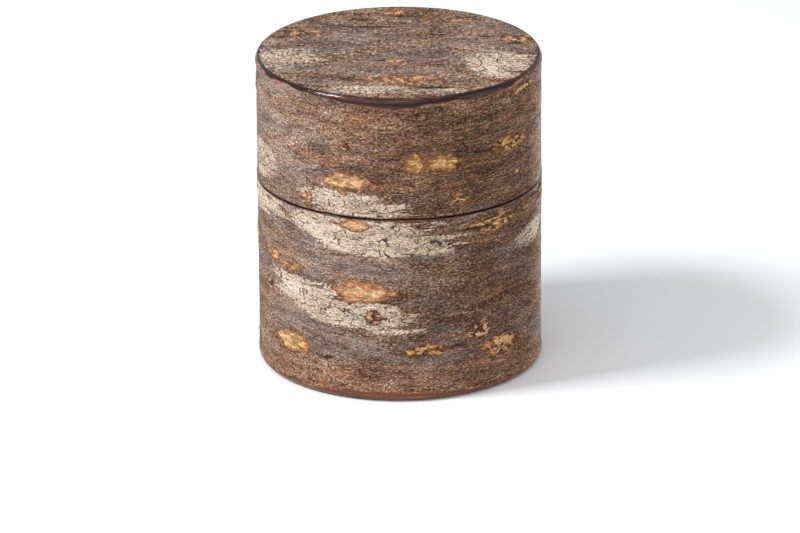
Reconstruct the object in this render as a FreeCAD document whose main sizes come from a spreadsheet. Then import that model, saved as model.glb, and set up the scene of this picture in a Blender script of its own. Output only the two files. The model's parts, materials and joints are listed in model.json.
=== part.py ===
"""Matcha caddy in laminated cherry bark: a lined bark tube sawn into a body and a lid, with a sleeve and an
inner lid inside.

Frame: origin at the centre of the base, +Z up, -Y is the front. Millimetres.
The tube is laminated in three plies, bark outside, wood veneer in the middle and a thin bark lining inside.
It is closed by a board at each end, faced with a disc of bark, and sawn through at the seam. Each end's
outer edge is turned round through both the sheath and the disc. A second, thinner tube, the sleeve, stands
on the base board inside the body and rises past the seam as the neck that the lid slides over. The inner
lid sits on the sleeve's rim.
"""

import FreeCAD, Part
import math
import os

import Sketcher

DIMENSIONS = {
    # overall
    "outer_radius": "36",
    "total_height": "80.5",
    "seam_height": "48.5",
    "seam_gap": "0.15",
    "edge_radius": "2",
    # plies of the outer tube
    "bark_thickness": "0.9",
    "veneer_thickness": "1.2",
    "lining_thickness": "0.4",
    # end boards
    "board_thickness": "3",
    # inner sleeve
    "sleeve_veneer": "0.8",
    "neck_height": "15.5",
    "neck_clearance": "0.1",
    "rim_ring": "0.4",
    "rim_ease": "0.12",
    "mouth_ease": "0.35",
    # inner lid
    "inner_lid_board": "2",
    "inner_lid_play": "0.4",
    "inner_lid_seat": "0.05",
    "plug_depth": "4",
    "plug_clearance": "0.1",
    "wood_ease": "0.3",
    # knob
    "knob_radius": "6.5",
    "knob_waist": "1.6",
    "knob_height": "8",
    "knob_crown": "1.2",
    "knob_socket": "4",
    "dowel_radius": "2",
    "dowel_depth": "4.5",
    "glue_gap": "0.03",
    # skived joint where the wrapped bark sheet meets itself, at the back of the tube
    "joint_width": "0.3",
    "joint_depth": "0.3",
}

FORMULAS = {
    "veneer_outer": "outer_radius - bark_thickness",
    "lining_outer": "veneer_outer - veneer_thickness",
    "tube_bore": "lining_outer - lining_thickness",
    "edge_centre": "outer_radius - edge_radius",
    "edge_meet": "sqrt(edge_radius ^ 2 - (veneer_outer - edge_centre) ^ 2)",
    "top_edge_centre": "total_height - edge_radius",
    "base_top": "bark_thickness + board_thickness",
    "mouth_height": "seam_height + seam_gap",
    "top_under": "total_height - bark_thickness - board_thickness",
    "sleeve_veneer_outer": "tube_bore - lining_thickness",
    "sleeve_lining_outer": "sleeve_veneer_outer - sleeve_veneer",
    "sleeve_bore": "sleeve_lining_outer - lining_thickness",
    "neck_radius": "tube_bore - neck_clearance",
    "neck_top": "seam_height + neck_height",
    "rim_top": "neck_top + rim_ring",
    "flange_bottom": "rim_top + inner_lid_seat",
    "flange_radius": "tube_bore - inner_lid_play",
    "flange_board": "flange_radius - lining_thickness",
    "flange_top": "flange_bottom + inner_lid_board",
    "plug_radius": "sleeve_bore - plug_clearance",
    "plug_board": "plug_radius - lining_thickness",
    "plug_bottom": "flange_bottom - plug_depth",
    "knob_base": "flange_top + lining_thickness",
    "knob_foot": "knob_radius - 0.8",
    "dowel_bottom": "knob_base - lining_thickness - dowel_depth",
    "dowel_hole": "dowel_radius + glue_gap",
}

FULL_TURN = 360.0
TINY = 1e-6

doc = FreeCAD.newDocument("tea_caddy")
sheet = doc.addObject("Spreadsheet::Sheet", "dimensions")


def fill_sheet():
    """One row for each dimension, then one for each size that follows from them, each with its alias."""
    row = 1
    for alias, text in DIMENSIONS.items():
        sheet.set(f"A{row}", alias)
        sheet.set(f"B{row}", text)
        sheet.setAlias(f"B{row}", alias)
        row += 1
    doc.recompute()
    for alias, formula in FORMULAS.items():
        sheet.set(f"A{row}", alias)
        sheet.set(f"B{row}", "=" + formula)
        sheet.setAlias(f"B{row}", alias)
        row += 1
        doc.recompute()


def size(alias):
    return float(sheet.get(alias))


def bound(expression):
    """An expression that names the sheet's aliases, written so that a body can read it."""
    words = []
    for word in expression.split():
        known = word in DIMENSIONS or word in FORMULAS
        words.append("dimensions." + word if known else word)
    return " ".join(words)


def new_body(label, height="0"):
    """An empty body whose own XY plane stands at a height taken from the sheet."""
    body = doc.addObject("PartDesign::Body", label)
    body.Label = label
    body.setExpression("Placement.Base.z", bound(height))
    doc.recompute()
    return body


def plane(body, role):
    return next(f for f in body.Origin.OriginFeatures if f.Role == role)


def new_sketch(body, role="XY_Plane"):
    sketch = body.newObject("Sketcher::SketchObject", body.Label + "_sketch")
    sketch.AttachmentSupport = [(plane(body, role), "")]
    sketch.MapMode = "FlatFace"
    return sketch


def circle(sketch, radius):
    """A circle about the axis, its radius bound to the sheet."""
    index = sketch.addGeometry(Part.Circle(FreeCAD.Vector(), FreeCAD.Vector(0, 0, 1), 10), False)
    sketch.addConstraint(Sketcher.Constraint("Coincident", index, 3, -1, 1))
    constraint = sketch.addConstraint(Sketcher.Constraint("Radius", index, 10))
    sketch.setExpression(f"Constraints[{constraint}]", bound(radius))


def pad(body, sketch, length):
    feature = body.newObject("PartDesign::Pad", body.Label + "_pad")
    feature.Profile = sketch
    feature.setExpression("Length", bound(length))
    sketch.Visibility = False
    body.Tip = feature
    doc.recompute()
    return feature


def disc(label, radius, bottom, thickness):
    body = new_body(label, bottom)
    sketch = new_sketch(body)
    circle(sketch, radius)
    pad(body, sketch, thickness)
    return body


def tube(label, outer, inner, bottom, length):
    body = new_body(label, bottom)
    sketch = new_sketch(body)
    circle(sketch, outer)
    circle(sketch, inner)
    pad(body, sketch, length)
    return body


def circle_edges(body, radius, height):
    """Names of the tip's full circles of a radius (mm) at a height above the body's own XY plane."""
    found = []
    for number, edge in enumerate(body.Tip.Shape.Edges, 1):
        curve = edge.Curve
        if not isinstance(curve, Part.Circle):
            continue
        same_size = abs(curve.Radius - radius) < 1e-4
        same_height = abs(edge.BoundBox.ZMin - height) < 1e-4 and edge.BoundBox.ZLength < 1e-4
        if same_size and same_height:
            found.append(f"Edge{number}")
    assert found, f"{body.Label} has no circle of radius {radius} at height {height}"
    return found


def dress(body, kind, quantity, alias, edge_radius, height):
    """A fillet or a chamfer, sized by the sheet, on the tip's circles of a radius at a height."""
    base = body.Tip
    edges = circle_edges(body, edge_radius, height)
    feature = body.newObject("PartDesign::" + kind, body.Label + "_" + kind.lower())
    feature.Base = (base, edges)
    feature.setExpression(quantity, bound(alias))
    body.Tip = feature
    doc.recompute()
    return feature


def fillet(body, radius_alias, edge_radius, height):
    return dress(body, "Fillet", "Radius", radius_alias, edge_radius, height)


def chamfer(body, size_alias, edge_radius, height):
    return dress(body, "Chamfer", "Size", size_alias, edge_radius, height)


def profile(body, points, round_from=None, edge_height=None):
    """A closed outline on the body's XZ plane, anticlockwise. Each corner is a pair of expressions, radius
    and height. The side that starts at corner round_from is an arc of the rounded edge, about edge_height."""
    sketch = new_sketch(body, "XZ_Plane")
    corners = [FreeCAD.Vector(value(r), value(z), 0) for r, z in points]
    count = len(corners)
    for i in range(count):
        start = corners[i]
        end = corners[(i + 1) % count]
        side = edge_arc(start, end, edge_height) if i == round_from else Part.LineSegment(start, end)
        sketch.addGeometry(side, False)
    for i in range(count):
        sketch.addConstraint(Sketcher.Constraint("Coincident", i, 2, (i + 1) % count, 1))
    if round_from is not None:
        constraint = sketch.addConstraint(Sketcher.Constraint("Radius", round_from, size("edge_radius")))
        sketch.setExpression(f"Constraints[{constraint}]", bound("edge_radius"))
    for i, (r, z) in enumerate(points):
        for kind, expression in (("DistanceX", r), ("DistanceY", z)):
            if abs(value(expression)) < TINY:
                target = -2 if kind == "DistanceX" else -1
                sketch.addConstraint(Sketcher.Constraint("PointOnObject", i, 1, target))
                continue
            constraint = sketch.addConstraint(Sketcher.Constraint(kind, -1, 1, i, 1, value(expression)))
            sketch.setExpression(f"Constraints[{constraint}]", bound(expression))
    return sketch


def edge_arc(start, end, edge_height):
    """The stretch of the rounded edge between two points on it."""
    centre = FreeCAD.Vector(size("edge_centre"), size(edge_height), 0)
    angles = [math.atan2(point.y - centre.y, point.x - centre.x) for point in (start, end)]
    whole = Part.Circle(centre, FreeCAD.Vector(0, 0, 1), size("edge_radius"))
    return Part.ArcOfCircle(whole, *angles)


def value(expression):
    """The number that an expression of aliases stands for, worked out term by term."""
    total = 0.0
    sign = 1.0
    for word in expression.split():
        if word in "+-":
            sign = 1.0 if word == "+" else -1.0
        else:
            total += sign * (size(word) if word in DIMENSIONS or word in FORMULAS else float(word))
    return total


def revolve(body, sketch, kind="PartDesign::Revolution"):
    feature = body.newObject(kind, body.Label + "_turned")
    feature.Profile = sketch
    feature.ReferenceAxis = (sketch, ["V_Axis"])
    feature.Angle = FULL_TURN
    sketch.Visibility = False
    body.Tip = feature
    doc.recompute()
    return feature


def bore(body, radius, depth, from_top):
    """A blind or through hole on the axis, cut down from a height above the body's own plane."""
    before = body.Tip.Shape.Volume
    sketch = new_sketch(body)
    sketch.setExpression("AttachmentOffset.Base.z", bound(from_top))
    circle(sketch, radius)
    feature = body.newObject("PartDesign::Pocket", body.Label + "_bore")
    feature.Profile = sketch
    feature.setExpression("Length", bound(depth))
    sketch.Visibility = False
    body.Tip = feature
    doc.recompute()
    removed = before - body.Tip.Shape.Volume
    assert removed > 1, f"{body.Label}: the bore removed {removed:.3f} mm3"
    return feature


def wrap_joint(body, height):
    """The skived joint of a wrapped sheet: a fine V groove down the back, the full height of the sheath."""
    before = body.Tip.Shape.Volume
    sketch = new_sketch(body)
    radius = size("outer_radius")
    depth = size("joint_depth")
    half = size("joint_width") / 2
    overshoot = 0.5
    corners = [
        FreeCAD.Vector(0, radius - depth, 0),
        FreeCAD.Vector(half * (depth + overshoot) / depth, radius + overshoot, 0),
        FreeCAD.Vector(-half * (depth + overshoot) / depth, radius + overshoot, 0),
    ]
    for i in range(3):
        sketch.addGeometry(Part.LineSegment(corners[i], corners[(i + 1) % 3]), False)
    for i in range(3):
        sketch.addConstraint(Sketcher.Constraint("Coincident", i, 2, (i + 1) % 3, 1))
    sketch.addConstraint(Sketcher.Constraint("Horizontal", 1))
    sketch.addConstraint(Sketcher.Constraint("PointOnObject", 0, 1, -2))
    apex = sketch.addConstraint(Sketcher.Constraint("DistanceY", -1, 1, 0, 1, radius - depth))
    sketch.setExpression(f"Constraints[{apex}]", bound("outer_radius - joint_depth"))
    feature = body.newObject("PartDesign::Pocket", body.Label + "_joint")
    feature.Profile = sketch
    feature.Reversed = True
    feature.setExpression("Length", bound(height))
    sketch.Visibility = False
    body.Tip = feature
    doc.recompute()
    removed = before - body.Tip.Shape.Volume
    assert removed > 0.1, f"{body.Label}: the joint groove removed {removed:.4f} mm3"
    return feature


def make_base():
    """The base board, with a disc of bark under it and a thin bark floor on it."""
    bark = new_body("base_bark")
    sketch = profile(
        bark,
        [
            ("0", "0"),
            ("edge_centre", "0"),
            ("veneer_outer", "edge_radius - edge_meet"),
            ("veneer_outer", "bark_thickness"),
            ("0", "bark_thickness"),
        ],
        round_from=1,
        edge_height="edge_radius",
    )
    revolve(bark, sketch)
    board = disc("base_board", "veneer_outer", "bark_thickness", "board_thickness")
    floor = disc("floor_bark", "sleeve_bore", "base_top", "lining_thickness")
    return [bark, board, floor]


def make_body_wall():
    """Bark sheath, veneer tube and lining of the body, with a ring of bark over their sawn edge."""
    sheath = new_body("body_outer_bark")
    sketch = profile(
        sheath,
        [
            ("veneer_outer", "edge_radius - edge_meet"),
            ("outer_radius", "edge_radius"),
            ("outer_radius", "seam_height"),
            ("veneer_outer", "seam_height"),
        ],
        round_from=0,
        edge_height="edge_radius",
    )
    revolve(sheath, sketch)
    fillet(sheath, "mouth_ease", size("outer_radius"), size("seam_height"))
    wrap_joint(sheath, "seam_height")
    length = "seam_height - base_top - rim_ring"
    core = tube("body_veneer_tube", "veneer_outer", "lining_outer", "base_top", length)
    lining = tube("body_lining", "lining_outer", "tube_bore", "base_top", length)
    ring = tube("shoulder_ring", "veneer_outer", "tube_bore", "seam_height - rim_ring", "rim_ring")
    return [sheath, core, lining, ring]


def make_sleeve():
    """The inner tube. Its facing is scraped thinner above the seam, so that the lid slides on it."""
    facing = new_body("sleeve_facing")
    sketch = profile(
        facing,
        [
            ("sleeve_veneer_outer", "base_top"),
            ("tube_bore", "base_top"),
            ("tube_bore", "seam_height - rim_ring"),
            ("neck_radius", "seam_height - rim_ring"),
            ("neck_radius", "neck_top"),
            ("sleeve_veneer_outer", "neck_top"),
        ],
    )
    revolve(facing, sketch)
    core = tube(
        "sleeve_veneer_tube", "sleeve_veneer_outer", "sleeve_lining_outer", "base_top", "neck_top - base_top"
    )
    lining = tube("sleeve_lining", "sleeve_lining_outer", "sleeve_bore", "base_top", "neck_top - base_top")
    rim = tube("sleeve_rim_ring", "neck_radius", "sleeve_bore", "neck_top", "rim_ring")
    fillet(rim, "rim_ease", size("neck_radius"), size("rim_ring"))
    fillet(rim, "rim_ease", size("sleeve_bore"), size("rim_ring"))
    return [facing, core, lining, rim]


def make_lid():
    """The sawn-off upper part of the tube, closed by the top board, which has bark on it and under it."""
    sheath = new_body("lid_outer_bark")
    sketch = profile(
        sheath,
        [
            ("veneer_outer", "mouth_height"),
            ("outer_radius", "mouth_height"),
            ("outer_radius", "top_edge_centre"),
            ("veneer_outer", "top_edge_centre + edge_meet"),
        ],
        round_from=2,
        edge_height="top_edge_centre",
    )
    revolve(sheath, sketch)
    fillet(sheath, "mouth_ease", size("outer_radius"), size("mouth_height"))
    wrap_joint(sheath, "total_height")
    ply_bottom = "mouth_height + rim_ring"
    length = "top_under - mouth_height - rim_ring"
    core = tube("lid_veneer_tube", "veneer_outer", "lining_outer", ply_bottom, length)
    lining = tube("lid_lining", "lining_outer", "tube_bore", ply_bottom, length)
    ring = tube("lid_mouth_ring", "veneer_outer", "tube_bore", "mouth_height", "rim_ring")
    fillet(ring, "rim_ease", size("tube_bore"), 0)
    board = disc("lid_top_board", "veneer_outer", "top_under", "board_thickness")
    bark = new_body("lid_top_bark")
    sketch = profile(
        bark,
        [
            ("0", "total_height - bark_thickness"),
            ("veneer_outer", "total_height - bark_thickness"),
            ("veneer_outer", "top_edge_centre + edge_meet"),
            ("edge_centre", "total_height"),
            ("0", "total_height"),
        ],
        round_from=2,
        edge_height="top_edge_centre",
    )
    revolve(bark, sketch)
    ceiling = disc("lid_ceiling_bark", "tube_bore", "top_under - lining_thickness", "lining_thickness")
    return [sheath, core, lining, ring, board, bark, ceiling]


def make_inner_lid():
    """Two boards glued as a stepped plug, faced with bark on every side, with a turned knob on a dowel."""
    flange = disc("inner_lid_board", "flange_board", "flange_bottom", "inner_lid_board")
    bore(flange, "dowel_hole", "inner_lid_board", "inner_lid_board")
    plug = disc("inner_lid_plug", "plug_board", "plug_bottom", "plug_depth")
    chamfer(plug, "wood_ease", size("plug_board"), 0)
    bore(plug, "dowel_hole", "dowel_depth - inner_lid_board", "plug_depth")
    face = disc("inner_lid_top_bark", "flange_board", "flange_top", "lining_thickness")
    bore(face, "dowel_hole", "lining_thickness", "lining_thickness")
    under_radius = "plug_board - wood_ease"
    under_bottom = "plug_bottom - lining_thickness"
    under = disc("inner_lid_underside_bark", under_radius, under_bottom, "lining_thickness")
    band_height = "knob_base - flange_bottom"
    edge = tube("inner_lid_edge_bark", "flange_radius", "flange_board", "flange_bottom", band_height)
    fillet(edge, "rim_ease", size("flange_radius"), size("knob_base") - size("flange_bottom"))
    plug_band = tube("inner_lid_plug_bark", "plug_radius", "plug_board", "plug_bottom", "plug_depth")
    chamfer(plug_band, "rim_ease", size("plug_radius"), 0)
    return [flange, plug, face, under, edge, plug_band]


def make_knob():
    """A low turned knob: a foot, a waist cut by a round groove and a crowned head, bored for its dowel."""
    knob = new_body("knob", "knob_base")
    sketch = profile(
        knob,
        [
            ("0", "0"),
            ("knob_foot", "0"),
            ("knob_radius", "knob_height - knob_crown"),
            ("0", "knob_height"),
        ],
    )
    revolve(knob, sketch)
    groove = new_sketch(knob, "XZ_Plane")
    middle = (size("knob_height") - size("knob_crown")) / 2
    index = groove.addGeometry(
        Part.Circle(FreeCAD.Vector(size("knob_radius"), middle, 0), FreeCAD.Vector(0, 0, 1), 2), False
    )
    radius = groove.addConstraint(Sketcher.Constraint("Radius", index, 2))
    groove.setExpression(f"Constraints[{radius}]", bound("knob_waist"))
    across = groove.addConstraint(Sketcher.Constraint("DistanceX", -1, 1, index, 3, size("knob_radius")))
    groove.setExpression(f"Constraints[{across}]", bound("knob_radius"))
    up = groove.addConstraint(Sketcher.Constraint("DistanceY", -1, 1, index, 3, middle))
    groove.setExpression(f"Constraints[{up}]", "(" + bound("knob_height - knob_crown") + ") / 2")
    before = knob.Tip.Shape.Volume
    revolve(knob, groove, "PartDesign::Groove")
    assert before - knob.Tip.Shape.Volume > 1, "the knob's waist was not cut"
    fillet(knob, "wood_ease", size("knob_radius"), size("knob_height") - size("knob_crown"))
    bore(knob, "dowel_hole", "knob_socket", "knob_socket")
    dowel_length = "knob_socket + lining_thickness + dowel_depth"
    dowel = disc("knob_dowel", "dowel_radius", "dowel_bottom", dowel_length)
    chamfer(dowel, "wood_ease", size("dowel_radius"), 0)
    return [knob, dowel]


def check_and_export(bodies):
    doc.recompute()
    for item in doc.Objects:
        bad = [s for s in item.State if s in ("Invalid", "Error")]
        assert not bad, f"{item.Label} is {bad}"
    os.makedirs("parts", exist_ok=True)
    for body in bodies:
        shape = body.Shape
        assert not shape.isNull() and shape.isValid(), f"{body.Label} has a bad shape"
        assert len(shape.Solids) == 1, f"{body.Label} has {len(shape.Solids)} solids"
        shape.exportStep(os.path.join("parts", body.Label + ".step"))
        box = shape.BoundBox
        print(f"{body.Label:26s} {shape.Volume:10.1f} mm3, height {box.ZMin:6.2f} to {box.ZMax:6.2f}")
    capacity = math.pi * size("sleeve_bore") ** 2 * (size("plug_bottom") - size("base_top")) / 1000
    print(f"room under the inner lid: {capacity:.0f} ml")


fill_sheet()
container = make_base() + make_body_wall() + make_sleeve()
inner_lid = make_inner_lid() + make_knob()
check_and_export(container + inner_lid + make_lid())
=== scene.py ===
"""Looks of a cherry-bark tea caddy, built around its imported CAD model.

Lengths are millimetres, except in the studio, where they are metres. Angles are degrees. MM turns a length
into Blender's metres.
"""

import json
import math

import bpy
import numpy as np
from mathutils import Matrix, Vector


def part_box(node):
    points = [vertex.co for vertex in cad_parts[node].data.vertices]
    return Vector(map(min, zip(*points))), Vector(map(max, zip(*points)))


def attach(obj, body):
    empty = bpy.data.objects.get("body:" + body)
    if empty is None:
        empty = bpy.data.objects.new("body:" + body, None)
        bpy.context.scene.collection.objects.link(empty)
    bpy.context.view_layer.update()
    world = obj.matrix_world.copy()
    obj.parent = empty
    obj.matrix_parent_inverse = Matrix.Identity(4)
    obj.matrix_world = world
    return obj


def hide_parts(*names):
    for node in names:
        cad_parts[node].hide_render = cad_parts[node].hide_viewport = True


MM = 0.001

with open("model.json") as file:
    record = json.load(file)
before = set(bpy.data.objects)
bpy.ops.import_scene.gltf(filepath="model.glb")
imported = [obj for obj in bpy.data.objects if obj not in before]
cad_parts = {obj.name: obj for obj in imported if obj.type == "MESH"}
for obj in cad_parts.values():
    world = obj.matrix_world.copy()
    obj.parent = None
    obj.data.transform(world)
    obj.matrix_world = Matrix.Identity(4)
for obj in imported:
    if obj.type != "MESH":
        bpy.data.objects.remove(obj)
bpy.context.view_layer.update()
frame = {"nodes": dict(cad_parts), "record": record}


# ---------------------------------------------------------------------------------------------------------
# sizes

def node_box(node):
    """A CAD node's lowest and highest corners."""
    low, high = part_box(node)
    return low / MM, high / MM


# The caddy's outer radius, its heights, the veneer tube's outer radius, and the thickness of an end's bark.
OUTER = node_box("body_outer_bark")[1].x
SEAM = node_box("body_outer_bark")[1].z
MOUTH = node_box("lid_outer_bark")[0].z
HEIGHT = node_box("lid_top_bark")[1].z
VENEER = node_box("body_veneer_tube")[1].x
BARK = node_box("base_bark")[1].z
HALF_SHEET = math.pi * OUTER

# The rounded edge at both ends, and the glue line in it, where an end's disc of bark meets the sheath. The
# arc of each stops CLEAR_OF_GLUE degrees short of the line.
EDGE = 2.0
EDGE_CENTRE = OUTER - EDGE
MEET_ANGLE = math.degrees(math.acos((VENEER - EDGE_CENTRE) / EDGE))
GLUE_LINE = 0.10
CLEAR_OF_GLUE = 3
# The eased edge at the seam.
EASE = 0.35

# The mesh of a bark piece: columns round the caddy, rows up the wall or out from the axis, and rows in the
# sheath's and the disc's part of the rounded edge.
COLUMNS = 660
ROW_STEP = 0.36
SHEATH_EDGE_ROWS = 11
DISC_EDGE_ROWS = 5
TURN = -math.pi + 2 * math.pi * np.arange(COLUMNS) / COLUMNS
ON_AXIS = 1e-6

# Relief is cut inward from the CAD's surface. These depths below it and heights above the skin make it up.
SKIN_DEPTH = 0.30
LEAST_DEPTH = 0.02
POLISHED_DEPTH = 0.10
FIBRE_RELIEF = 0.045
PLATE_RELIEF = 0.05
PALE_RISE = 0.05
CORK_RISE = 0.16
CORK_RELIEF = 0.08
OUTLINE_DEPTH = 0.08
CRACK_DEPTH = 0.22
JOINT_DEPTH = 0.12

# An end's disc has thicker fibres than the wall, stands higher, and its cork is fainter. The base's relief
# is worn down by BASE_WEAR of its depth.
DISC_COARSE = 2.0
DISC_RISE = 0.14
DISC_CORK = 0.6
DISC_GAP = 0.03
DISC_EDGE_RELIEF = 0.8
BASE_WEAR = 0.6

WALL_SEED = 101
TOP_SEED = 301
BASE_SEED = 401
BACK_MARKS_SEED = 5
BASE_MARKS_SEED = 23


# ---------------------------------------------------------------------------------------------------------
# noise

NOISE_ANGLES = 65536
NOISE_GAIN = 1.5
HASH_X = 73856093
HASH_Y = 19349663
OCTAVE_SEED_STEP = 17

# Patterns on the sheet: length and height of a cell, what it adds to the seed, octaves, and each one's gain.
PATTERNS = {
    "meander": (34, 20, 1, 2, 0.55),
    "fibre": (3.6, 0.9, 2, 4, 0.60),
    "plates": (13, 3.6, 3, 3, 0.55),
    "ragged": (2.0, 0.9, 4, 3, 0.55),
    "streaks": (16, 1.5, 5, 4, 0.62),
    "jagged": (2.4, 2.0, 6, 3, 0.55),
    "ridges": (8, 1.05, 7, 1, 0.55),
    "sparse": (15, 9, 8, 2, 0.55),
    "corky": (1.3, 0.9, 9, 3, 0.60),
    "warmth": (20, 5, 10, 3, 0.55),
    "lumps": (4.5, 3.0, 11, 2, 0.55),
    "ragged_edge": (9, 2.4, 20, 3, 0.55),
    "edge_width": (16, 1, 21, 1, 0.55),
    "disc_blotches": (1.1, 1.6, 22, 2, 0.55),
}


def smoothstep(low, high, x):
    """0 up to low, 1 from high on, and smooth between. With low above high it falls."""
    t = np.clip((x - low) / (high - low), 0, 1)
    return t * t * (3 - 2 * t)


def noise(x, y, seed):
    """Gradient noise, about -1 to 1, one cell per unit."""
    angles = np.random.RandomState(seed).uniform(0, 2 * np.pi, NOISE_ANGLES)
    ix = np.floor(x).astype(np.int64)
    iy = np.floor(y).astype(np.int64)
    fx = x - ix
    fy = y - iy
    sx = fx * fx * fx * (fx * (fx * 6 - 15) + 10)
    sy = fy * fy * fy * (fy * (fy * 6 - 15) + 10)

    def corner(dx, dy):
        angle = angles[((ix + dx) * HASH_X ^ (iy + dy) * HASH_Y) & (NOISE_ANGLES - 1)]
        return np.cos(angle) * (fx - dx) + np.sin(angle) * (fy - dy)

    low = corner(0, 0) * (1 - sx) + corner(1, 0) * sx
    high = corner(0, 1) * (1 - sx) + corner(1, 1) * sx
    return (low * (1 - sy) + high * sy) * NOISE_GAIN


def pattern(name, u, v, seed):
    """One of PATTERNS, at points u along the grain and v across it."""
    length, height, seed_offset, octaves, gain = PATTERNS[name]
    total = 0
    weight = 1.0
    for octave in range(octaves):
        finer = 2 ** octave
        octave_seed = seed + seed_offset + OCTAVE_SEED_STEP * octave
        total = total + weight * noise(u / length * finer, v / height * finer, octave_seed)
        weight *= gain
    return total


# ---------------------------------------------------------------------------------------------------------
# what grows on the bark: lenticels, pale patches and cracks, and the tints between them, one of them a
# painted reflection

# On the wall. Angle from the front (+ to the right), height, length, width, yellowness, darkness.
WALL_LENTICELS = [
    (-21, 57.5, 13.5, 5.2, 0.35, 0.15),
    (5.6, 63.0, 5.0, 4.6, 0.85, 0.12),
    (17.2, 62.7, 9.0, 4.2, 0.80, 0.15),
    (51, 64.0, 14.0, 4.4, 0.85, 0.55),
    (-22.5, 67.0, 4.0, 2.4, 0.10, 0.60),
    (-10, 66.6, 2.2, 1.1, 0.00, 0.40),
    (25, 53.0, 5.6, 2.6, 0.30, 0.70),
    (58, 77.0, 13.0, 2.8, 0.90, 0.35),
    (-40, 51.8, 3.6, 2.0, 0.60, 0.20),
    (55, 56.0, 2.8, 1.2, 0.10, 0.20),
    (-18.5, 46.5, 8.2, 2.8, 0.20, 0.00),
    (40, 45.0, 17.5, 3.8, 0.80, 0.35),
    (61, 45.5, 7.0, 2.4, 0.30, 0.65),
    (-62, 33.0, 6.0, 3.2, 0.75, 0.20),
    (-51, 31.5, 6.5, 2.8, 0.70, 0.30),
    (-14, 28.8, 16.5, 5.4, 0.25, 0.05),
    (-11, 22.5, 4.4, 3.6, 0.15, 0.70),
    (-50, 11.8, 13.5, 5.6, 0.45, 0.12),
    (12, 13.5, 13.0, 3.2, 0.95, 0.45),
    (44, 11.5, 13.0, 6.2, 0.60, 0.35),
    (33, 17.0, 8.0, 5.0, 0.40, 0.68),
    (-65, 24.7, 2.8, 3.8, 0.10, 0.75),
]
# Angle, height, length, width, tilt, strength.
WALL_PALE = [
    (-20, 51.8, 32, 6.5, -3, 0.72),
    (-72, 56.0, 16, 11.0, -4, 0.42),
    (-14, 43.8, 45, 10.5, -5, 0.95),
    (66, 37.0, 18, 6.5, 3, 0.62),
    (-27, 24.2, 43, 10.5, -9, 0.95),
    (-62, 45.0, 14, 4.0, -4, 0.50),
]
# Angle, height, length, width.
WALL_CRACKS = [
    (-33, 59.3, 9.0, 0.5),
    (-8, 58.0, 7.0, 0.5),
    (-4, 64.2, 6.0, 0.6),
    (36, 64.0, 8.0, 0.6),
    (-79, 76.5, 3.0, 1.6),
    (30, 44.4, 14.0, 0.8),
    (-37, 28.3, 9.0, 0.5),
    (8, 28.2, 5.0, 0.5),
    (-31, 10.2, 9.0, 0.8),
    (25, 14.0, 8.0, 0.7),
    (70, 46.5, 6.0, 0.9),
]
# Angle, height, length, width, warmth added, lightness added.
WALL_TINTS_AND_REFLECTION = [
    (14, 67.0, 50, 24, 0.50, -0.16),
    (-42, 68.0, 36, 20, -0.02, 0.13),
    (40, 27.0, 60, 34, 0.32, -0.22),
    (-15, 35.0, 46, 8, -0.35, 0.14),
    (-20, 16.0, 50, 8, -0.35, 0.00),
    (0, 3.0, 150, 9, 0.75, 0.04),
    (-70, 40.0, 22, 50, 0.10, 0.08),
    (55, 62.0, 40, 26, 0.25, -0.16),
    (-18, 71.0, 20, 8, 0.30, 0.06),
    # A painted reflection: a tall light strip down the right-hand edge of the wall.
    (82, 40.0, 12, 90, -0.20, 0.45),
]
# On the top. The same columns, but each starts with the place: right of the axis, and behind it.
TOP_LENTICELS = [
    (0.0, -7.5, 8.2, 3.4, 0.05, 0.25),
    (1.0, -22.0, 21.5, 6.2, 0.25, 0.30),
    (-12.5, -22.0, 6.0, 2.6, 0.10, 0.95),
    (-24.0, 14.5, 16.0, 4.4, 0.10, 0.45),
    (-0.5, 29.3, 7.5, 4.0, 0.15, 0.25),
    (6.8, 23.4, 8.0, 3.4, 0.20, 0.25),
    (16.0, 23.0, 9.0, 2.6, 0.20, 0.60),
    (30.0, 8.6, 9.0, 5.0, 0.05, 0.40),
    (19.3, -28.6, 6.5, 3.2, 0.10, 0.30),
]
TOP_PALE = [
    (25.0, -10.0, 18, 23, 0, 0.64),
    (-29.0, -6.0, 22, 18, 0, 0.45),
    (-9.0, -29.0, 22, 7, 0, 0.42),
    (8.0, -31.0, 22, 5, 0, 0.42),
    (-17.0, -3.0, 12, 10, 0, 0.18),
]
TOP_CRACKS = [
    (-6.5, 19.0, 18.0, 1.5),
    (-10.0, 24.5, 7.0, 1.4),
    (9.0, 12.2, 12.0, 0.9),
    (22.5, 11.0, 5.0, 1.2),
    (-29.0, 11.5, 6.5, 1.5),
    (-28.0, 18.5, 5.0, 1.2),
    (-16.0, 20.5, 7.0, 1.0),
    (9.6, -27.6, 10.0, 1.7),
    (-13.0, -20.0, 5.0, 1.2),
    (-4.5, -7.0, 4.0, 1.3),
    (29.0, 5.4, 7.0, 1.2),
    (2.0, 27.0, 8.0, 1.0),
    (-9.0, 29.0, 6.0, 1.2),
    (17.0, 26.0, 7.0, 1.1),
    (24.5, -12.0, 5.0, 0.6),
    (27.0, -16.0, 4.0, 0.6),
    (-28.0, -16.5, 4.0, 1.0),
    (-20.0, 3.0, 5.0, 0.7),
]
TOP_TINTS = [
    (0.0, 28.0, 60, 12, 0.30, -0.06),
    (-8.0, 4.0, 50, 24, -0.10, -0.02),
    (10.0, -24.0, 50, 14, 0.20, 0.04),
]
WALL_MARKS = (WALL_LENTICELS, WALL_PALE, WALL_CRACKS, WALL_TINTS_AND_REFLECTION)
TOP_MARKS = (TOP_LENTICELS, TOP_PALE, TOP_CRACKS, TOP_TINTS)

# The stretches of sheet that get seeded marks: angles and heights on the wall, and a square on the base.
BACK_SPAN = ((80, 278), (4, 77))
BASE_SPAN = ((-30, 30), (-30, 30))
BACK_COUNT = 30
BASE_COUNT = 10


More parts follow.
